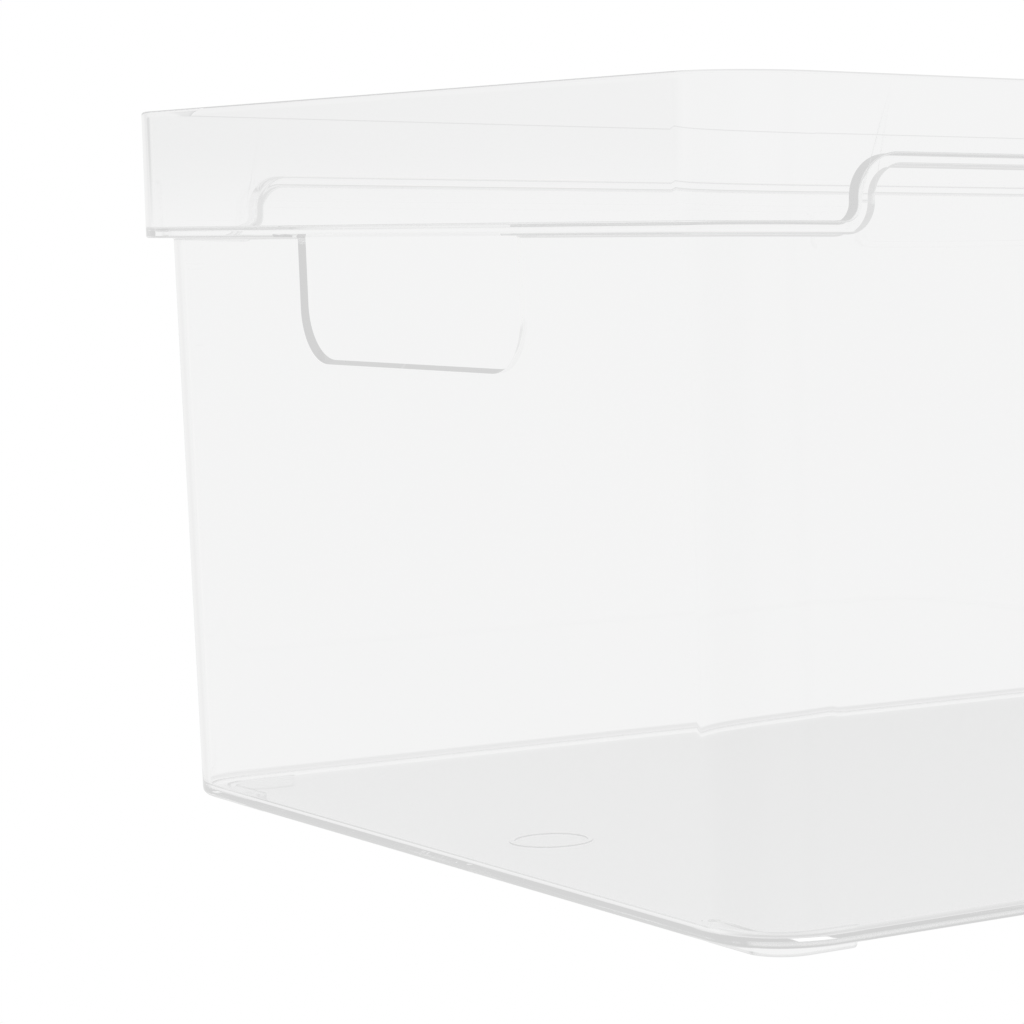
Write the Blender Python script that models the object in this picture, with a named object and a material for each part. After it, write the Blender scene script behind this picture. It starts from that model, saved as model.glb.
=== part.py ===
"""Stackable storage bin, a clear plastic tub with a stepped stacking collar.

Frame: metres, +Z up. The origin is the centre of the footprint on the plane the feet stand on.
+X runs along the long side, the long front wall faces -Y, and the short walls with the
hand-holes face -X and +X. Every piece is one closed solid, 0.3 mm clear of its neighbours.

Each shape function returns sections: lists of (x, y, z) points, equally many in each, which
add_piece joins into a solid. An inset is a distance in from the rim's outside face.
"""

import math

import bmesh
import bpy

MM = 0.001

# Outside sizes at the rim
LENGTH = 460 * MM
WIDTH = 290 * MM
HEIGHT = 180 * MM

# Thicknesses
WALL_THICKNESS = 2.0 * MM
COLLAR_THICKNESS = 2.0 * MM
LEDGE_THICKNESS = 2.4 * MM
FLOOR_THICKNESS = 2.0 * MM

GAP = 0.3 * MM  # between neighbouring pieces

# Levels
FLOOR_LOW = 3.0 * MM  # underside of the floor
LEDGE_LOW = 147.8 * MM  # underside of the ledge at the ends and corners
LEDGE_TOP = LEDGE_LOW + LEDGE_THICKNESS
LEDGE_RISE = 14.0 * MM  # how much higher the ledge runs along the middle of the long walls
WALL_FOOT = FLOOR_LOW + FLOOR_THICKNESS + GAP
WALL_TOP = LEDGE_LOW - GAP  # top of the walls where the ledge is low

# Insets and drafts
COLLAR_INSET_LOW = 0.5 * MM  # collar's outside face, at the ledge's low underside
LEDGE_STEP = 5.4 * MM  # the ledge's overhang past the tub
TUB_INSET_TOP = COLLAR_INSET_LOW + LEDGE_STEP
END_DRAFT = 4.0 * MM  # how far the end walls lean in from the ledge to the floor
LONG_DRAFT = 0.5 * MM  # the same for the long walls

# Corner radii, measured on the outside
COLLAR_RADIUS = 21.0 * MM
TUB_RADIUS_TOP = 19.5 * MM
TUB_RADIUS_BOTTOM = 21.0 * MM

# S-curve in which the ledge rises, on its top side
RISER_FROM_END = {-1: 33.0 * MM, 1: 36.4 * MM}  # its upright part from the rim's end, front, back
RISER_FOOT_RADIUS = 4.1 * MM
RISER_HEAD_RADIUS = 8.8 * MM

# Hand-holes in the short walls
HOLE_HALF_WIDTH = 52.8 * MM
HOLE_SILL = 117.6 * MM  # height of the sill on the wall's outside
HOLE_CORNER_RADIUS = 13.3 * MM
HOLE_RISE = 1.0 * MM  # the cut rises this much through the wall

# Relief in the ledge's underside above each hand-hole
RELIEF_DEPTH = 0.7 * MM
RELIEF_HALF_WIDTH = 55.0 * MM
RELIEF_SLOPE = 0.2 * MM  # run of the sloping step at either end

# Feet, L-shaped ribs
FOOT_WIDTH = 3.0 * MM
FOOT_INSET_END = 19.7 * MM  # centre line of the arm along the end wall
FOOT_INSET_LONG = 15.85 * MM  # the same for the arm along the long wall
FOOT_REACH = 40.3 * MM  # end of each arm, from the rim's outside face
FOOT_BEND_RADIUS = 8.4 * MM  # on the centre line
FOOT_EASE = 0.5 * MM  # bevel round the standing edge

# Rounded edges
RIM_ROUND = 0.7 * MM
LEDGE_ROUND = 0.6 * MM
BASE_ROUND = 1.8 * MM
ROUND_MIDDLE = 0.3  # where a small round's middle point lies, as a share of the round

# Segments in each arc
CORNER_STEPS = 8
RISER_FOOT_STEPS = 6
RISER_HEAD_STEPS = 8
BASE_STEPS = 4
FOOT_END_STEPS = 6

SHARP_ABOVE = math.radians(35)

CLEAR_PLASTIC = {
    "Base Color": (0.93, 0.95, 0.96, 1.0),
    "Roughness": 0.06,
    "Metallic": 0.0,
    "IOR": 1.52,
    "Transmission Weight": 0.9,
}


# Building

def clear_plastic(name):
    """The colourless plastic that the bin is moulded in."""
    material = bpy.data.materials.new(name)
    material.use_nodes = True
    shader = material.node_tree.nodes["Principled BSDF"]
    for setting, value in CLEAR_PLASTIC.items():
        shader.inputs[setting].default_value = value
    return material


def join_sections(bm, sections, ring):
    """Quads between each section and the next; a ring closes on itself, others get end caps."""
    loops = [[bm.verts.new(point) for point in section] for section in sections]
    following = loops[1:] + loops[:1] if ring else loops[1:]
    for loop, after in zip(loops, following):
        for j in range(len(loop)):
            k = (j + 1) % len(loop)
            bm.faces.new((loop[j], loop[k], after[k], after[j]))
    if not ring:
        bm.faces.new(loops[0])
        bm.faces.new(loops[-1])


def add_piece(name, sections, ring=False):
    """Makes one object from its sections, with its faces turned outward."""
    bm = bmesh.new()
    join_sections(bm, sections, ring)
    bmesh.ops.recalc_face_normals(bm, faces=bm.faces)
    # guards against a solid that is left inside out
    if bm.calc_volume(signed=True) < 0:
        bmesh.ops.reverse_faces(bm, faces=bm.faces)
    bmesh.ops.triangulate(bm, faces=[face for face in bm.faces if len(face.verts) > 4])
    mesh = bpy.data.meshes.new(name)
    bm.to_mesh(mesh)
    bm.free()
    mesh.shade_smooth()
    mesh.set_sharp_from_angle(angle=SHARP_ABOVE)
    mesh.materials.append(clear_plastic(name + "_plastic"))
    piece = bpy.data.objects.new(name, mesh)
    bpy.context.scene.collection.objects.link(piece)


# Outlines and measures

def spread(start, end, steps):
    """Evenly spaced values from start to end, both included."""
    return [start + (end - start) * i / steps for i in range(steps + 1)]


def arc(centre, radius, start, end, steps=CORNER_STEPS):
    """Points on an arc in a plane, between two angles in degrees."""
    return [
        (
            centre[0] + radius * math.cos(math.radians(angle)),
            centre[1] + radius * math.sin(math.radians(angle)),
        )
        for angle in spread(start, end, steps)
    ]


def mirrored(right):
    """An outline that is symmetric across, from its right half."""
    return right + [(-across, z) for across, z in reversed(right)]


def depth_share(z):
    """How far down the tub z is: 0 at the ledge's low underside, 1 at the floor's underside."""
    return (LEDGE_LOW - z) / (LEDGE_LOW - FLOOR_LOW)


def end_inset(z):
    """Inset of an end wall's outside face at height z."""
    return TUB_INSET_TOP + END_DRAFT * depth_share(z)


def long_inset(z):
    """Inset of a long wall's outside face at height z."""
    return TUB_INSET_TOP + LONG_DRAFT * depth_share(z)


def collar_inset(z):
    return COLLAR_INSET_LOW * (HEIGHT - z) / (HEIGHT - LEDGE_LOW)


def tub_radius(z):
    return TUB_RADIUS_TOP + (TUB_RADIUS_BOTTOM - TUB_RADIUS_TOP) * depth_share(z)


def corner_centre(z):
    """Centre (x, y) of the tub's +X +Y corner arc at height z."""
    radius = tub_radius(z)
    return LENGTH / 2 - end_inset(z) - radius, WIDTH / 2 - long_inset(z) - radius


def riser_path(side, shift):
    """The S-curve from the low level up to the raised one, as (x, z) points for +X.

    shift moves the line square to itself, down and towards the middle: 0 is the ledge's
    top side and LEDGE_THICKNESS its underside."""
    upright = LENGTH / 2 - RISER_FROM_END[side]
    foot = (upright + RISER_FOOT_RADIUS, LEDGE_TOP + RISER_FOOT_RADIUS)
    head = (upright - RISER_HEAD_RADIUS, LEDGE_TOP + LEDGE_RISE - RISER_HEAD_RADIUS)
    return (
        arc(foot, RISER_FOOT_RADIUS + shift, 270, 180, RISER_FOOT_STEPS)
        + arc(head, RISER_HEAD_RADIUS - shift, 0, 90, RISER_HEAD_STEPS)
    )


# Tub

def floor_sections():
    """A plate whose lower edge is rounded; the walls stand on it."""
    levels = [
        (FLOOR_LOW + BASE_ROUND - rise, BASE_ROUND - out)
        for rise, out in arc((0, 0), BASE_ROUND, 0, 90, BASE_STEPS)
    ]
    levels.append((FLOOR_LOW + FLOOR_THICKNESS, 0))
    sections = []
    for z, back in levels:
        centre_x, centre_y = corner_centre(z)
        section = []
        for side_x, side_y, start in ((1, 1, 0), (-1, 1, 90), (-1, -1, 180), (1, -1, 270)):
            centre = (side_x * centre_x, side_y * centre_y)
            corner = arc(centre, tub_radius(z) - back, start, start + 90)
            section += [(x, y, z) for x, y in corner]
        sections.append(section)
    return sections


def long_wall_sections(side):
    """A flat wall whose top follows the ledge, as its outside and inside outlines."""
    right = [(corner_centre(z)[0] - GAP, z) for z in (WALL_FOOT, WALL_TOP)]
    outline = mirrored(right + riser_path(side, LEDGE_THICKNESS + GAP))
    return [
        [(x, side * (WIDTH / 2 - long_inset(z) - back), z) for x, z in outline]
        for back in (0, WALL_THICKNESS)
    ]


def end_wall_outline(rise):
    """An end wall round its hand-hole, as (y, z), with the sill raised by this much."""
    right = [(corner_centre(z)[1] - GAP, z) for z in (WALL_FOOT, WALL_TOP)]
    right.append((HOLE_HALF_WIDTH, WALL_TOP))
    hole_corner = (
        HOLE_HALF_WIDTH - HOLE_CORNER_RADIUS,
        HOLE_SILL + rise + HOLE_CORNER_RADIUS,
    )
    return mirrored(right + arc(hole_corner, HOLE_CORNER_RADIUS, 0, -90))


def end_wall_sections(side):
    """A flat wall with a hand-hole open to the ledge, as its outside and inside outlines."""
    return [
        [
            (side * (LENGTH / 2 - end_inset(z) - back), y, z)
            for y, z in end_wall_outline(rise)
        ]
        for back, rise in ((0, 0), (WALL_THICKNESS, HOLE_RISE))
    ]


def corner_sections(side_x, side_y):
    """A rounded corner of the tub, swept from the end wall to the long wall."""
    edges = (
        (WALL_FOOT, 0),
        (WALL_TOP, 0),
        (WALL_TOP, WALL_THICKNESS),
        (WALL_FOOT, WALL_THICKNESS),
    )
    arcs = [
        [
            (side_x * x, side_y * y, z)
            for x, y in arc(corner_centre(z), tub_radius(z) - back, 0, 90)
        ]
        for z, back in edges
    ]
    return list(zip(*arcs))


# Feet

def foot_outline(half):
    """The +X +Y foot's outline, this far either side of its centre line, with round ends."""
    line_x = LENGTH / 2 - FOOT_INSET_END
    line_y = WIDTH / 2 - FOOT_INSET_LONG
    bend = (line_x - FOOT_BEND_RADIUS, line_y - FOOT_BEND_RADIUS)
    end_x = LENGTH / 2 - FOOT_REACH + FOOT_WIDTH / 2
    end_y = WIDTH / 2 - FOOT_REACH + FOOT_WIDTH / 2
    return (
        arc(bend, FOOT_BEND_RADIUS + half, 0, 90)
        + arc((end_x, line_y), half, 90, 270, FOOT_END_STEPS)
        + arc(bend, FOOT_BEND_RADIUS - half, 90, 0)
        + arc((line_x, end_y), half, 180, 360, FOOT_END_STEPS)
    )


def foot_sections(side_x, side_y):
    """An L-shaped rib with a rounded bend and an eased standing edge."""
    half = FOOT_WIDTH / 2
    levels = ((FLOOR_LOW - GAP, half), (FOOT_EASE, half), (0, half - FOOT_EASE))
    return [
        [(side_x * x, side_y * y, z) for x, y in foot_outline(level_half)]
        for z, level_half in levels
    ]


# Collar

def riser_stations(side):
    """Places along a riser towards +X: (x at the rim, ledge top and underside), underside z,
    top z."""
    start = LENGTH / 2 - RISER_FROM_END[side] + RISER_FOOT_RADIUS
    run = RISER_FOOT_RADIUS + RISER_HEAD_RADIUS
    stations = []
    for top, under in zip(riser_path(side, 0), riser_path(side, LEDGE_THICKNESS)):
        # at the rim x follows the height, so that the upright part has width there
        rim_x = start - run * (top[1] - LEDGE_TOP) / LEDGE_RISE
        stations.append(((rim_x, top[0], under[0]), under[1], top[1]))
    return stations


def corner_stations(signs, start):
    return [
        ("corner", signs, (angle,) * 3, LEDGE_LOW, LEDGE_TOP)
        for angle in spread(start, start + 90, CORNER_STEPS)
    ]


def collar_stations():
    """Places round the rim, anticlockwise from above: (wall, signs, along, underside z, top z).

    along holds the place at the rim, the ledge's top and its underside: y on an end wall,
    x on a long wall, degrees in a corner."""
    relief_edge = RELIEF_HALF_WIDTH + RELIEF_SLOPE
    relief = (
        (-relief_edge, 0),
        (-RELIEF_HALF_WIDTH, RELIEF_DEPTH),
        (RELIEF_HALF_WIDTH, RELIEF_DEPTH),
        (relief_edge, 0),
    )
    stations = []
    for side, start in ((1, 0), (-1, 180)):
        for y, lift in relief:
            stations.append(("end", (side, 0), (side * y,) * 3, LEDGE_LOW + lift, LEDGE_TOP))
        stations += corner_stations((side, side), start)
        risers = riser_stations(side)
        for sign, rows in ((side, risers), (-side, reversed(risers))):
            for along, under_z, top_z in rows:
                signed = tuple(sign * x for x in along)
                stations.append(("long", (0, side), signed, under_z, top_z))
        stations += corner_stations((-side, side), start + 90)
    return stations


def collar_point(wall, signs, along, end_in, long_in, radius, z):
    """A point at these insets from the rim's face, or on a corner arc of this radius."""
    if wall == "end":
        return (signs[0] * (LENGTH / 2 - end_in), along, z)
    if wall == "long":
        return (along, signs[1] * (WIDTH / 2 - long_in), z)
    angle = math.radians(along)
    return (
        signs[0] * (LENGTH / 2 - end_in - radius) + radius * math.cos(angle),
        signs[1] * (WIDTH / 2 - long_in - radius) + radius * math.sin(angle),
        z,
    )


def collar_section(wall, signs, along, under_z, top_z):
    """Section through ledge and collar: up the outside, over the rim, down to the tub."""
    rim_at, top_at, under_at = along
    face = collar_inset(under_z)
    ledge_middle = LEDGE_ROUND * ROUND_MIDDLE
    rim_middle = RIM_ROUND * ROUND_MIDDLE
    profile = (  # along, inset, z
        (under_at, face + LEDGE_ROUND, under_z),
        (under_at, face + ledge_middle, under_z + ledge_middle),
        (under_at, face, under_z + LEDGE_ROUND),
        (rim_at, 0, HEIGHT - RIM_ROUND),
        (rim_at, rim_middle, HEIGHT - rim_middle),
        (rim_at, RIM_ROUND, HEIGHT),
        (rim_at, COLLAR_THICKNESS - RIM_ROUND, HEIGHT),
        (rim_at, COLLAR_THICKNESS - rim_middle, HEIGHT - rim_middle),
        (rim_at, COLLAR_THICKNESS, HEIGHT - RIM_ROUND),
        (top_at, collar_inset(top_z) + COLLAR_THICKNESS, top_z),
    )
    section = [
        collar_point(wall, signs, place, inset, inset, COLLAR_RADIUS - inset, z)
        for place, inset, z in profile
    ]
    # the relief above a hand-hole runs out at the end wall's inside face
    inner_z = LEDGE_LOW if wall == "end" else under_z
    for place, z in ((top_at, top_z), (under_at, inner_z)):
        end_in = end_inset(z) + WALL_THICKNESS
        long_in = long_inset(z) + WALL_THICKNESS
        radius = tub_radius(z) - WALL_THICKNESS
        section.append(collar_point(wall, signs, place, end_in, long_in, radius, z))
    return section


def main():
    for old in list(bpy.data.objects):
        bpy.data.objects.remove(old, do_unlink=True)
    add_piece("floor_pan", floor_sections())
    for name, side in (("front", -1), ("back", 1)):
        add_piece(f"{name}_wall", long_wall_sections(side))
    for name, side in (("left", -1), ("right", 1)):
        add_piece(f"{name}_end_wall", end_wall_sections(side))
    for y_name, side_y in (("front", -1), ("back", 1)):
        for x_name, side_x in (("left", -1), ("right", 1)):
            add_piece(f"corner_{y_name}_{x_name}", corner_sections(side_x, side_y))
            add_piece(f"foot_{y_name}_{x_name}", foot_sections(side_x, side_y))
    collar = [collar_section(*station) for station in collar_stations()]
    add_piece("stacking_collar", collar, ring=True)


main()
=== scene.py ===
"""Looks for the stackable storage bin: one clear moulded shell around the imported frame.

Everything is in metres in the frame's own axes: +Z up, the origin under the middle of the bin on
the plane its feet stand on, the long front wall facing -Y and the hand-hole walls facing -X and +X.
"""

import math

import bmesh
import bpy
from mathutils import Matrix, Vector


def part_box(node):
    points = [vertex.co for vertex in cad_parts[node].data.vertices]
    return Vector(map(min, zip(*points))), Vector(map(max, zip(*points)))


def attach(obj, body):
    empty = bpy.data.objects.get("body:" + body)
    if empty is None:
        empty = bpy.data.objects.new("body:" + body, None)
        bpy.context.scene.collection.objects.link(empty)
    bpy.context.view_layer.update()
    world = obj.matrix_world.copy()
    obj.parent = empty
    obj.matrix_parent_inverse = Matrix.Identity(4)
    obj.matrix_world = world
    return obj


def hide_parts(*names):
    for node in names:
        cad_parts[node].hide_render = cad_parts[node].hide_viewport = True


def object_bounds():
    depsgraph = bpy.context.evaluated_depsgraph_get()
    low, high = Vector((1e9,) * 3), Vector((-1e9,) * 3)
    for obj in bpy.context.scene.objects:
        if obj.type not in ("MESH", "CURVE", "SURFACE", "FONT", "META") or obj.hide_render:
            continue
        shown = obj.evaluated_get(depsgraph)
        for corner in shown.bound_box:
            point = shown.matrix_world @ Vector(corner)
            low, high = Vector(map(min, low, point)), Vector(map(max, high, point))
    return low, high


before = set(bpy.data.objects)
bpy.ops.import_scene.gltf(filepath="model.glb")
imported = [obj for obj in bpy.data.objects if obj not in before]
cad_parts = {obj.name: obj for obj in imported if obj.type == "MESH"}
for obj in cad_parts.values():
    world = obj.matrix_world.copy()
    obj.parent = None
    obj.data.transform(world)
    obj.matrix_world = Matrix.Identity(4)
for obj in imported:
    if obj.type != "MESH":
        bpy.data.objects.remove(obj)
cad_low, cad_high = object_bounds()

MM = 0.001

# ---------------------------------------------------------------- sizes, read from the frame
floor_low, floor_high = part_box("floor_pan")
collar_low, collar_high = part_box("stacking_collar")
LENGTH = cad_high.x - cad_low.x
WIDTH = cad_high.y - cad_low.y
HEIGHT = cad_high.z
FOOT_HEIGHT = floor_low.z
FLOOR_TOP = floor_high.z
LEDGE_LOW = collar_low.z

# ---------------------------------------------------------------- the moulding's own details
T_WALL = 2.0 * MM
T_COLLAR = 2.0 * MM
T_LEDGE = 2.4 * MM
LEDGE_RISE = 14.0 * MM
COLLAR_INSET_LOW = 0.5 * MM
LEDGE_STEP = 5.4 * MM
END_DRAFT = 4.0 * MM
LONG_DRAFT = 0.5 * MM
R_COLLAR = 21.0 * MM
R_TUB_TOP = 19.5 * MM
R_TUB_BOTTOM = 21.0 * MM
RISER_FROM_END = {-1: 33.0 * MM, 1: 36.4 * MM}
RISER_FOOT_R = 4.1 * MM
RISER_HEAD_R = 8.8 * MM
HOLE_HALF_WIDTH = 52.8 * MM
HOLE_SILL = 117.6 * MM
HOLE_CORNER_R = 13.3 * MM
HOLE_RISE = 1.0 * MM
RELIEF_DEPTH = 0.7 * MM
RELIEF_HALF_WIDTH = 55.0 * MM
FOOT_WIDTH = 3.0 * MM
FOOT_INSET_END = 19.7 * MM
FOOT_INSET_LONG = 15.85 * MM
FOOT_REACH = 40.3 * MM
FOOT_BEND_R = 8.4 * MM

RIM_ROUND = 0.7 * MM
LEDGE_EDGE_ROUND = 0.6 * MM  # ledge's outer lower edge
LEDGE_UNDER_FILLET = 0.5 * MM  # tub's outside into the ledge's underside
LEDGE_TOP_FILLET = 0.45 * MM  # ledge's top side into the collar's inside
LEDGE_LIP_ROUND = 0.8 * MM  # ledge's top side over into the tub
BASE_ROUND = 1.8 * MM
FLOOR_FILLET = 1.8 * MM
FOOT_ROUND = 0.8 * MM

MARK_AT = (-LENGTH / 2 + 42.0 * MM, -3.0 * MM)  # plain moulded ring on the floor
MARK_RADIUS = 9.2 * MM

CORNER_STEPS = 28
ROUND_STEPS = 6


def end_inset(z):
    share = (LEDGE_LOW - z) / (LEDGE_LOW - FOOT_HEIGHT)
    return COLLAR_INSET_LOW + LEDGE_STEP + END_DRAFT * share


def long_inset(z):
    share = (LEDGE_LOW - z) / (LEDGE_LOW - FOOT_HEIGHT)
    return COLLAR_INSET_LOW + LEDGE_STEP + LONG_DRAFT * share


def tub_radius(z):
    share = (LEDGE_LOW - z) / (LEDGE_LOW - FOOT_HEIGHT)
    return R_TUB_TOP + (R_TUB_BOTTOM - R_TUB_TOP) * share


def collar_inset(z):
    return COLLAR_INSET_LOW * (HEIGHT - z) / (HEIGHT - LEDGE_LOW)


# ---------------------------------------------------------------- the shell
def riser(side, shift, foot_steps=12, head_steps=16):
    """The ledge's S-curve as (x, z), moved square to itself by shift towards the tub."""
    upright = LENGTH / 2 - RISER_FROM_END[side]
    low = LEDGE_LOW + T_LEDGE
    high = low + LEDGE_RISE
    foot, head = RISER_FOOT_R + shift, RISER_HEAD_R - shift
    points = []
    for i in range(foot_steps + 1):
        a = math.radians(90 * i / foot_steps)
        points.append(
            (
                upright + RISER_FOOT_R - foot * math.sin(a),
                low + RISER_FOOT_R - foot * math.cos(a),
            )
        )
    for i in range(head_steps + 1):
        a = math.radians(90 * i / head_steps)
        points.append(
            (
                upright - RISER_HEAD_R + head * math.cos(a),
                high - RISER_HEAD_R + head * math.sin(a),
            )
        )
    return points


def stations():
    """Places round the bin, counter-clockwise from the +X end wall.

    Each is (wall, signs, floor, under, top, rim): where its column of points runs, as a distance
    along the wall or as an angle in a corner, at the floor, on the ledge's underside and top side
    (those two with their heights) and at the rim."""
    low, top = LEDGE_LOW, LEDGE_LOW + T_LEDGE
    out = []
    for side in (1, -1):
        risers = list(zip(riser(side, 0), riser(side, T_LEDGE)))
        count = len(risers)
        # below and above the S-curve the columns stand evenly, clear of the rounded corner
        spread_from = LENGTH / 2 - end_inset(FOOT_HEIGHT) - R_TUB_BOTTOM - 2 * MM
        spread_to = LENGTH / 2 - RISER_FROM_END[side] - RISER_HEAD_R - 6 * MM
        for y in (-0.1, -0.05, 0.0, 0.05, 0.1):
            y *= side
            out.append(("end", (side, 0), y, (y, low), (y, top), y))
        start = 0 if side > 0 else 180
        for i in range(CORNER_STEPS + 1):
            a = start + 90 * i / CORNER_STEPS
            out.append(("corner", (side, side), a, (a, low), (a, top), a))
        run = []
        for i, ((xo, zo), (xu, zu)) in enumerate(risers):
            even = spread_from + (spread_to - spread_from) * i / (count - 1)
            run.append((even, (xu, zu), (xo, zo), even))
        for even, (xu, zu), (xo, zo), rim in run:
            out.append(
                ("long", (0, side), side * even, (side * xu, zu), (side * xo, zo), side * rim)
            )
        for x in (0.1, 0.05, 0.0, -0.05, -0.1):
            x *= side
            out.append(
                ("long", (0, side), x, (x, low + LEDGE_RISE), (x, top + LEDGE_RISE), x)
            )
        for even, (xu, zu), (xo, zo), rim in reversed(run):
            out.append(
                ("long", (0, side), -side * even, (-side * xu, zu), (-side * xo, zo), -side * rim)
            )
        for i in range(CORNER_STEPS + 1):
            a = start + 90 + 90 * i / CORNER_STEPS
            out.append(("corner", (-side, side), a, (a, low), (a, top), a))
    return out


def place(wall, signs, along, end_in, long_in, radius, z):
    if wall == "end":
        return (signs[0] * (LENGTH / 2 - end_in), along, z)
    if wall == "long":
        return (along, signs[1] * (WIDTH / 2 - long_in), z)
    a = math.radians(along)
    return (
        signs[0] * (LENGTH / 2 - end_in - radius) + radius * math.cos(a),
        signs[1] * (WIDTH / 2 - long_in - radius) + radius * math.sin(a),
        z,
    )


def quarter(steps=ROUND_STEPS):
    return [math.radians(90 * i / steps) for i in range(steps + 1)]


def section(station):
    """One closed-off run of points, from the base's underside up over the rim and down to the floor."""
    wall, signs, floor_at, (under_at, under_z), (top_at, top_z), rim_at = station
    step_at, step_z = top_at - under_at, top_z - under_z
    if wall == "corner":
        step_at = 0.0
    size = math.hypot(step_at, step_z)
    n_at, n_z = step_at / size, step_z / size
    points = []

    def tub(along, z, outward=0.0):
        """A point this far outward of the tub's outside face."""
        points.append(
            place(
                wall,
                signs,
                along,
                end_inset(z) - outward,
                long_inset(z) - outward,
                tub_radius(z) + outward,
                z,
            )
        )

    def rim(along, z, inset):
        points.append(place(wall, signs, along, inset, inset, R_COLLAR - inset, z))

    def collar(along, z, inward):
        rim(along, z, collar_inset(z) + inward)

    def wall_at(z, end_at, end_z):
        share = (z - FOOT_HEIGHT) / (end_z - FOOT_HEIGHT)
        return floor_at + (end_at - floor_at) * share

    # base edge
    for a in quarter():
        z = FOOT_HEIGHT + BASE_ROUND * (1 - math.cos(a))
        tub(floor_at, z, -BASE_ROUND * (1 - math.sin(a)))
    # up the outside
    r = LEDGE_UNDER_FILLET
    end_at, end_z = under_at - r * n_at, under_z - r * n_z
    first = FOOT_HEIGHT + BASE_ROUND
    for share in (0.02, 0.5, 0.98):
        z = first + (end_z - first) * share
        tub(wall_at(z, end_at, end_z), z)
    # into the ledge's underside
    for a in quarter(4):
        off = -r * (1 - math.sin(a))
        tub(under_at + off * n_at, under_z + off * n_z, r * (1 - math.cos(a)))
    # the ledge's outer lower edge
    r = LEDGE_EDGE_ROUND
    for a in quarter():
        off = r * (1 - math.cos(a))
        collar(under_at + off * n_at, under_z + off * n_z, r * (1 - math.sin(a)))
    # up the collar's outside, over the rim
    for share in (0.04, 0.96):
        z0, z1 = under_z + r * n_z, HEIGHT - RIM_ROUND
        a0 = under_at + r * n_at
        collar(a0 + (rim_at - a0) * share, z0 + (z1 - z0) * share, 0.0)
    r = RIM_ROUND
    for a in quarter():
        rim(rim_at, HEIGHT - r * (1 - math.sin(a)), r * (1 - math.cos(a)))
    for a in quarter():
        rim(rim_at, HEIGHT - r * (1 - math.cos(a)), T_COLLAR - r * (1 - math.sin(a)))
    # down the collar's inside
    r = LEDGE_TOP_FILLET
    for share in (0.04, 0.96):
        z0, z1 = HEIGHT - RIM_ROUND, top_z + r * n_z
        a1 = top_at + r * n_at
        collar(rim_at + (a1 - rim_at) * share, z0 + (z1 - z0) * share, T_COLLAR)
    for a in quarter():
        off = r * (1 - math.sin(a))
        collar(top_at + off * n_at, top_z + off * n_z, T_COLLAR + r * (1 - math.cos(a)))
    # over the ledge's lip
    r = LEDGE_LIP_ROUND
    for a in quarter():
        off = -r * (1 - math.cos(a))
        tub(top_at + off * n_at, top_z + off * n_z, -T_WALL + r * (1 - math.sin(a)))
    # down the inside
    end_at, end_z = top_at - r * n_at, top_z - r * n_z
    last = FLOOR_TOP + FLOOR_FILLET
    for share in (0.02, 0.5, 0.98):
        z = end_z + (last - end_z) * share
        tub(wall_at(z, end_at, end_z), z, -T_WALL)
    r = FLOOR_FILLET
    for a in quarter():
        z = FLOOR_TOP + r * (1 - math.sin(a))
        tub(floor_at, z, -T_WALL - r * (1 - math.cos(a)))
    return points


def new_object(name, bm):
    bmesh.ops.recalc_face_normals(bm, faces=bm.faces)
    if bm.calc_volume(signed=True) < 0:
        bmesh.ops.reverse_faces(bm, faces=bm.faces)
    mesh = bpy.data.meshes.new(name)
    bm.to_mesh(mesh)
    bm.free()
    obj = bpy.data.objects.new(name, mesh)
    bpy.context.scene.collection.objects.link(obj)
    return obj


def skin(bm, loops):
    for a, b in zip(loops, loops[1:]):
        for j in range(len(a)):
            k = (j + 1) % len(a)
            bm.faces.new((a[j], a[k], b[k], b[j]))


def make_tub():
    bm = bmesh.new()
    columns = [section(s) for s in stations()]
    rows = [[bm.verts.new(c[i]) for c in columns] for i in range(len(columns[0]))]
    skin(bm, rows)
    bm.faces.new(rows[0])
    bm.faces.new(rows[-1])
    return new_object("clear_bin_shell", bm)


def make_cutter(side, outline_at, depths):
    """A closed cutter through an end wall: an outline (y, z) at each depth in from the rim's face."""
    bm = bmesh.new()
    rings = [
        [bm.verts.new((side * (LENGTH / 2 - inset), y, z)) for y, z in outline_at(inset)]
        for inset in depths
    ]
    skin(bm, rings)
    bm.faces.new(rings[0])
    bm.faces.new(rings[-1])
    return new_object("cutter", bm)


def hole_top(inset):
    """The cut's top surface: it falls from the collar's outside to the wall's inside."""
    outer, inner = COLLAR_INSET_LOW, COLLAR_INSET_LOW + LEDGE_STEP + T_WALL
    return LEDGE_LOW + RELIEF_DEPTH * (inner - inset) / (inner - outer)


def hole_outline(inset):
    steps = 20
    sill = HOLE_SILL + HOLE_RISE * (inset - end_inset(HOLE_SILL)) / T_WALL
    ring = [(HOLE_HALF_WIDTH, hole_top(inset))]
    for way, start in ((1, 0), (-1, 90)):
        for i in range(steps + 1):
            a = math.radians(start + 90 * i / steps)
            ring.append(
                (
                    way * (HOLE_HALF_WIDTH - HOLE_CORNER_R) + HOLE_CORNER_R * math.cos(a),
                    sill + HOLE_CORNER_R - HOLE_CORNER_R * math.sin(a),
                )
            )
    return ring + [(-HOLE_HALF_WIDTH, hole_top(inset))]


def relief_outline(inset):
    top, low = hole_top(inset), LEDGE_LOW - 1.5 * MM
    half = RELIEF_HALF_WIDTH
    return [(half, top), (half, low), (-half, low), (-half, top)]


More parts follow.
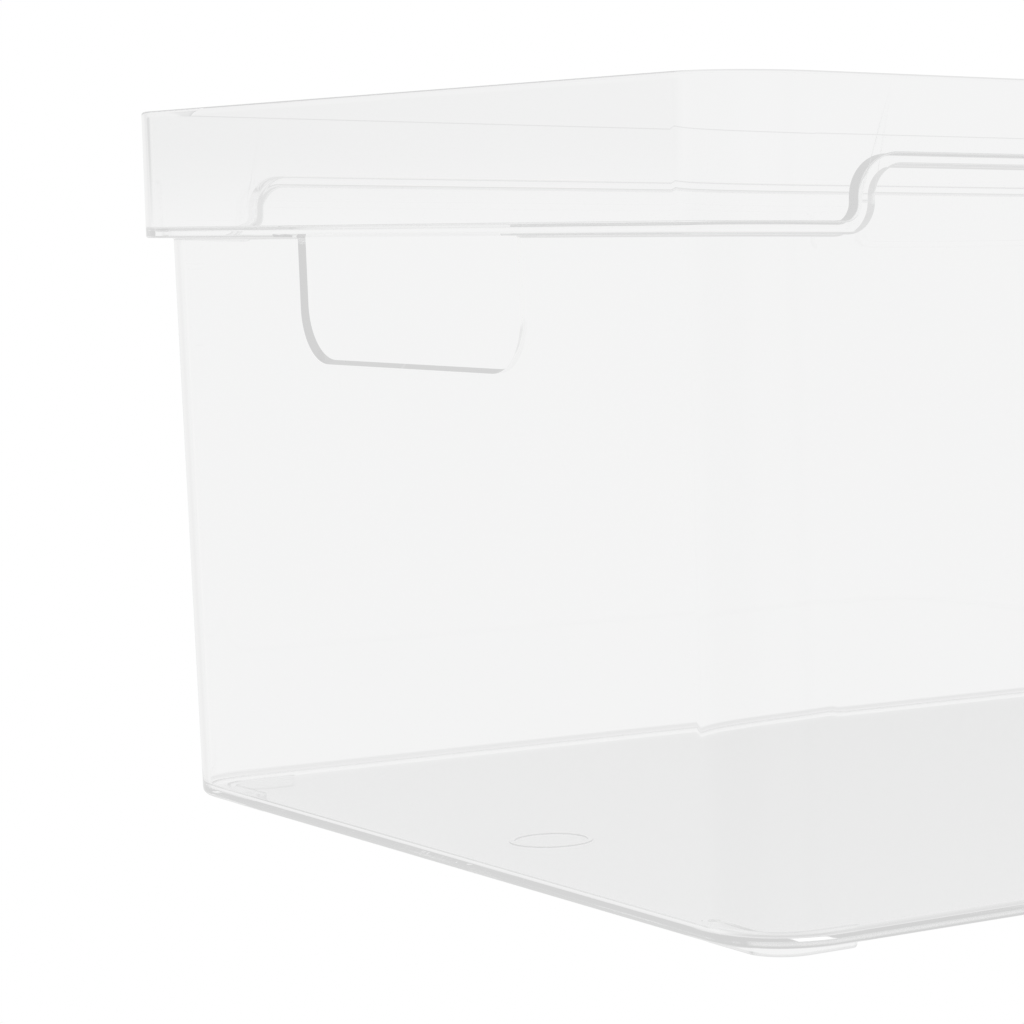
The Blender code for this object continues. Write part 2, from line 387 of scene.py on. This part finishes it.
def foot_outline(half):
    """The L-rib's outline in the +X +Y corner, this far from its centre line."""
    bend_x = LENGTH / 2 - FOOT_INSET_END - FOOT_BEND_R
    bend_y = WIDTH / 2 - FOOT_INSET_LONG - FOOT_BEND_R
    end_x = LENGTH / 2 - FOOT_REACH + FOOT_WIDTH / 2
    end_y = WIDTH / 2 - FOOT_REACH + FOOT_WIDTH / 2
    outer, inner = [], []
    for i in range(17):
        a = math.radians(90 * i / 16)
        for points, radius in ((outer, FOOT_BEND_R + half), (inner, FOOT_BEND_R - half)):
            points.append((bend_x + radius * math.cos(a), bend_y + radius * math.sin(a)))
    cap_x, cap_y = [], []
    for i in range(13):
        a = math.radians(180 * i / 12)
        cap_x.append((end_x - half * math.sin(a), bend_y + FOOT_BEND_R + half * math.cos(a)))
        cap_y.append((bend_x + FOOT_BEND_R - half * math.cos(a), end_y - half * math.sin(a)))
    return outer + cap_x + list(reversed(inner)) + cap_y


def make_foot(side_x, side_y):
    bm = bmesh.new()
    half = FOOT_WIDTH / 2
    levels = [(FOOT_HEIGHT + 0.9 * MM, half), (FOOT_ROUND, half - 0.1 * MM)]
    for a in quarter(5)[1:]:
        levels.append(
            (FOOT_ROUND * (1 - math.sin(a)), half - 0.1 * MM - FOOT_ROUND * (1 - math.cos(a)))
        )
    rings = []
    for z, reach in levels:
        rings.append(
            [bm.verts.new((side_x * x, side_y * y, z)) for x, y in foot_outline(reach)]
        )
    skin(bm, rings)
    bm.faces.new(rings[0])
    bm.faces.new(rings[-1])
    return new_object("foot", bm)


def make_floor_mark():
    """A plain raised ring near the floor's left end."""
    bm = bmesh.new()
    profile = (
        (MARK_RADIUS - 0.9 * MM, -0.3 * MM),
        (MARK_RADIUS - 0.6 * MM, 0.25 * MM),
        (MARK_RADIUS + 0.6 * MM, 0.25 * MM),
        (MARK_RADIUS + 0.9 * MM, -0.3 * MM),
    )
    rings = []
    for i in range(64):
        a = math.radians(360 * i / 64)
        rings.append(
            [
                bm.verts.new(
                    (
                        MARK_AT[0] + r * math.cos(a),
                        MARK_AT[1] + r * math.sin(a),
                        FLOOR_TOP + z,
                    )
                )
                for r, z in profile
            ]
        )
    skin(bm, rings + rings[:1])
    return new_object("floor_mark", bm)


def combine(target, other, operation):
    modifier = target.modifiers.new("combine", "BOOLEAN")
    modifier.operation = operation
    modifier.solver = "EXACT"
    modifier.object = other
    graph = bpy.context.evaluated_depsgraph_get()
    mesh = bpy.data.meshes.new_from_object(target.evaluated_get(graph))
    target.modifiers.clear()
    old = target.data
    target.data = mesh
    bpy.data.meshes.remove(old)
    bpy.data.objects.remove(other, do_unlink=True)


def finish_normals(obj):
    """Flat faces stay flat and rounds stay smooth: creases at sharp edges, normals weighted by area."""
    bm = bmesh.new()
    bm.from_mesh(obj.data)
    bmesh.ops.remove_doubles(bm, verts=bm.verts, dist=1e-6)
    bmesh.ops.dissolve_degenerate(bm, edges=bm.edges, dist=1e-7)
    bm.to_mesh(obj.data)
    bm.free()
    obj.data.shade_smooth()
    obj.data.set_sharp_from_angle(angle=math.radians(32))
    weighted = obj.modifiers.new("weighted", "WEIGHTED_NORMAL")
    weighted.mode = "FACE_AREA"
    weighted.weight = 100
    weighted.keep_sharp = True


def make_shell():
    shell = make_tub()
    for side in (-1, 1):
        wall = COLLAR_INSET_LOW + LEDGE_STEP
        combine(
            shell,
            make_cutter(side, relief_outline, (-2 * MM, wall - 0.3 * MM)),
            "DIFFERENCE",
        )
        combine(
            shell,
            make_cutter(side, hole_outline, (-2 * MM, wall + T_WALL + 6 * MM)),
            "DIFFERENCE",
        )
    for side_x in (-1, 1):
        for side_y in (-1, 1):
            combine(shell, make_foot(side_x, side_y), "UNION")
    combine(shell, make_floor_mark(), "UNION")
    finish_normals(shell)
    return shell


# ---------------------------------------------------------------- material
MAX_BOUNCES = 20
PAINTED_GLOW_TONE = 0.32  # painted glow: light a path picks up where it is still inside the plastic after MAX_BOUNCES, given off by the plastic itself in place of the light that more bounces would bring


def ramp(nodes, stops, smooth=False):
    """A colour ramp of plain tones: stops are (place, tone), with the place from 0 to 1."""
    node = nodes.new("ShaderNodeValToRGB")
    node.color_ramp.interpolation = "EASE" if smooth else "LINEAR"
    points = node.color_ramp.elements
    for point, (at, tone) in zip(points, (stops[0], stops[-1])):
        point.position = at
        point.color = (tone, tone, tone, 1)
    for at, tone in stops[1:-1]:
        points.new(at).color = (tone, tone, tone, 1)
    return node


def maths(nodes, links, operation, *values):
    node = nodes.new("ShaderNodeMath")
    node.operation = operation
    for socket, value in zip(node.inputs, values):
        if isinstance(value, (int, float)):
            socket.default_value = value
        else:
            links.new(value, socket)
    return node.outputs[0]


def clear_plastic():
    """Clear polystyrene: a smooth glossy skin, with the mould's slight flow marks and waviness, and a
    painted glow where paths are cut short inside it.
    """
    material = bpy.data.materials.new("clear_plastic")
    material.use_nodes = True
    nodes, links = material.node_tree.nodes, material.node_tree.links
    shader = nodes["Principled BSDF"]
    shader.inputs["Metallic"].default_value = 0.0
    shader.inputs["IOR"].default_value = 1.5
    shader.inputs["Transmission Weight"].default_value = 1.0

    where = nodes.new("ShaderNodeTexCoord")
    # flow of the plastic: long streaks that rise up the walls
    stretch = nodes.new("ShaderNodeMapping")
    stretch.inputs["Scale"].default_value = (9.0, 9.0, 3.0)
    links.new(where.outputs["Object"], stretch.inputs["Vector"])
    flow = nodes.new("ShaderNodeTexNoise")
    flow.inputs["Scale"].default_value = 1.0
    flow.inputs["Detail"].default_value = 2.0
    links.new(stretch.outputs["Vector"], flow.inputs["Vector"])
    tint = nodes.new("ShaderNodeValToRGB")
    tint.color_ramp.elements[0].position = 0.3
    tint.color_ramp.elements[0].color = (0.997, 0.998, 0.998, 1)
    tint.color_ramp.elements[1].position = 0.7
    tint.color_ramp.elements[1].color = (1.0, 1.0, 1.0, 1)
    links.new(flow.outputs["Fac"], tint.inputs["Fac"])
    links.new(tint.outputs["Color"], shader.inputs["Base Color"])

    # polish: nearly perfect, a touch duller in soft patches
    polish = nodes.new("ShaderNodeTexNoise")
    polish.inputs["Scale"].default_value = 38.0
    polish.inputs["Detail"].default_value = 3.0
    links.new(where.outputs["Object"], polish.inputs["Vector"])
    dull = nodes.new("ShaderNodeMapRange")
    dull.inputs["From Min"].default_value = 0.45
    dull.inputs["From Max"].default_value = 0.8
    dull.inputs["To Min"].default_value = 0.0
    dull.inputs["To Max"].default_value = 0.012
    links.new(polish.outputs["Fac"], dull.inputs["Value"])
    links.new(dull.outputs["Result"], shader.inputs["Roughness"])

    wave = nodes.new("ShaderNodeBump")
    wave.inputs["Strength"].default_value = 0.05
    wave.inputs["Distance"].default_value = 0.00002
    links.new(polish.outputs["Fac"], wave.inputs["Height"])
    links.new(wave.outputs["Normal"], shader.inputs["Normal"])

    # painted glow: where light is still going round inside the plastic when its path is cut short, the
    # plastic gives off light of its own, though it is no lamp
    path = nodes.new("ShaderNodeLightPath")
    painted_glow_on = maths(nodes, links, "GREATER_THAN", path.outputs["Ray Depth"], MAX_BOUNCES - 0.5)
    links.new(maths(nodes, links, "MULTIPLY", painted_glow_on, PAINTED_GLOW_TONE), shader.inputs["Emission Strength"])
    shader.inputs["Emission Color"].default_value = (1, 1, 1, 1)
    return material


# ---------------------------------------------------------------- stage, light, camera
BACKDROP = 1.0
SURROUND = 0.909

# the room's tone at each bearing in degrees, counter-clockwise from +X
LEVEL_TONES = (
    (0, 0.91), (42, SURROUND), (78, SURROUND), (92, 0.84), (104, SURROUND), (136, SURROUND),
    (160, 0.82), (200, 0.82), (224, SURROUND), (257, SURROUND), (270, 0.84), (283, SURROUND),
    (318, SURROUND), (360, 0.91),
)
UPPER_TONES = (
    (0, 0.92), (35, 0.74), (85, 0.74), (110, 0.72), (135, 0.74), (165, 0.92), (230, 0.95),
    (300, 0.86), (360, 0.92),
)
LOWER_TONES = (
    (0, 0.80), (60, 0.80), (95, 0.88), (130, 0.93), (170, 0.90), (230, 0.80), (300, 0.78),
    (360, 0.80),
)
# sine of the height above the level at which the upper tones begin
UPPER_FROM = ((0, 0.09), (85, 0.09), (100, -0.01), (136, -0.01), (150, 0.09), (360, 0.09))
TOP_TONE = 0.90
BOTTOM_TONE = 0.70


def shadeless(name, seen):
    material = bpy.data.materials.new(name)
    material.use_nodes = True
    nodes, links = material.node_tree.nodes, material.node_tree.links
    nodes.clear()
    out = nodes.new("ShaderNodeOutputMaterial")
    path = nodes.new("ShaderNodeLightPath")
    glow = nodes.new("ShaderNodeEmission")
    glow.inputs["Color"].default_value = (seen, seen, seen, 1)
    clear = nodes.new("ShaderNodeBsdfTransparent")
    mix = nodes.new("ShaderNodeMixShader")
    links.new(path.outputs["Is Camera Ray"], mix.inputs[0])
    links.new(clear.outputs[0], mix.inputs[1])
    links.new(glow.outputs[0], mix.inputs[2])
    links.new(mix.outputs[0], out.inputs["Surface"])
    return material


def make_floor():
    bm = bmesh.new()
    for corner in ((-3, -3), (3, -3), (3, 3), (-3, 3)):
        bm.verts.new((corner[0], corner[1], -0.0002))
    bm.faces.new(bm.verts)
    floor = new_object("studio_floor", bm)
    floor.data.materials.append(shadeless("floor_white", BACKDROP))
    return floor


def room_tone(nodes, links):
    """How bright the soft room is in each direction: pale all round, greyer above and below."""
    where = nodes.new("ShaderNodeTexCoord")
    split = nodes.new("ShaderNodeSeparateXYZ")
    links.new(where.outputs["Generated"], split.inputs[0])
    x, y, z = split.outputs
    turn = maths(nodes, links, "ARCTAN2", y, x)
    share = maths(nodes, links, "FRACT", maths(nodes, links, "DIVIDE", turn, 2 * math.pi))

    def by_bearing(stops):
        node = ramp(nodes, [(at / 360, tone) for at, tone in stops])
        links.new(share, node.inputs["Fac"])
        return node.outputs["Color"]

    def eased(start, end):
        node = nodes.new("ShaderNodeMapRange")
        node.interpolation_type = "SMOOTHSTEP"
        node.clamp = True
        links.new(z, node.inputs["Value"])
        for name, value in (("From Min", start), ("From Max", end)):
            if isinstance(value, (int, float)):
                node.inputs[name].default_value = value
            else:
                links.new(value, node.inputs[name])
        return node.outputs["Result"]

    def blend(amount, one, other):
        node = nodes.new("ShaderNodeMix")
        node.data_type = "FLOAT"
        links.new(amount, node.inputs[0])
        for socket, value in ((node.inputs[2], one), (node.inputs[3], other)):
            if isinstance(value, (int, float)):
                socket.default_value = value
            else:
                links.new(value, socket)
        return node.outputs[0]

    edge = maths(nodes, links, "SUBTRACT", by_bearing([(a, e + 0.1) for a, e in UPPER_FROM]), 0.1)
    edge_end = maths(nodes, links, "ADD", edge, 0.03)
    tone = blend(eased(edge, edge_end), by_bearing(LEVEL_TONES), by_bearing(UPPER_TONES))
    tone = blend(eased(0.55, 0.85), tone, TOP_TONE)
    # the two below run downwards, so their amounts are turned round
    low = maths(nodes, links, "SUBTRACT", 1.0, eased(-0.42, -0.25))
    tone = blend(low, tone, by_bearing(LOWER_TONES))
    bottom = maths(nodes, links, "SUBTRACT", 1.0, eased(-0.95, -0.6))
    return blend(bottom, tone, BOTTOM_TONE)


def make_world():
    world = bpy.data.worlds.new("studio")
    bpy.context.scene.world = world
    world.use_nodes = True
    nodes, links = world.node_tree.nodes, world.node_tree.links
    nodes.clear()
    out = nodes.new("ShaderNodeOutputWorld")
    path = nodes.new("ShaderNodeLightPath")
    seen = nodes.new("ShaderNodeBackground")
    seen.inputs["Color"].default_value = (BACKDROP, BACKDROP, BACKDROP, 1)
    room = nodes.new("ShaderNodeBackground")
    links.new(room_tone(nodes, links), room.inputs["Color"])
    mix = nodes.new("ShaderNodeMixShader")
    links.new(path.outputs["Is Camera Ray"], mix.inputs[0])
    links.new(room.outputs[0], mix.inputs[1])
    links.new(seen.outputs[0], mix.inputs[2])
    links.new(mix.outputs[0], out.inputs["Surface"])


# The view is the left part of a wider picture, so the lens is shifted sideways.
CAMERA_AT = (-LENGTH / 2 - 0.35328, -WIDTH / 2 - 0.54424, 0.14470)
CAMERA_YAW = 39.7907
CAMERA_PITCH = -4.5207
CAMERA_FOCAL = 3318.4 / 1024  # in picture widths
CAMERA_SHIFT = ((512 - 1125.5) / 1024, 0.5 / 1024)


def make_camera():
    data = bpy.data.cameras.new("camera")
    data.sensor_fit = "HORIZONTAL"
    data.sensor_width = 36
    data.lens = 36 * CAMERA_FOCAL
    data.clip_start, data.clip_end = 0.01, 50
    camera = bpy.data.objects.new("camera", data)
    bpy.context.scene.collection.objects.link(camera)
    camera.location = CAMERA_AT
    camera.rotation_euler = (
        math.radians(90 + CAMERA_PITCH),
        0.0,
        math.radians(-CAMERA_YAW),
    )
    bpy.context.scene.camera = camera
    # the shift holds only where this camera stands; seen from anywhere else the lens is centred
    for path, amount in (("shift_x", CAMERA_SHIFT[0]), ("shift_y", CAMERA_SHIFT[1])):
        driver = data.driver_add(path).driver
        driver.type = "SCRIPTED"
        where = driver.variables.new()
        where.name = "x"
        where.type = "TRANSFORMS"
        where.targets[0].id = camera
        where.targets[0].transform_type = "LOC_X"
        where.targets[0].transform_space = "WORLD_SPACE"
        driver.expression = f"{amount:.6f} * (abs(x - ({CAMERA_AT[0]:.5f})) < 0.0001)"


def main():
    shell = make_shell()
    shell.data.materials.clear()
    shell.data.materials.append(clear_plastic())
    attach(shell, "root")
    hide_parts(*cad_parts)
    make_floor()
    make_world()
    make_camera()
    scene = bpy.context.scene
    scene.view_settings.view_transform = "Standard"
    # light is passed on many times inside clear walls seen along their length
    scene.cycles.max_bounces = MAX_BOUNCES
    scene.cycles.transmission_bounces = MAX_BOUNCES
    scene.cycles.glossy_bounces = MAX_BOUNCES


main()
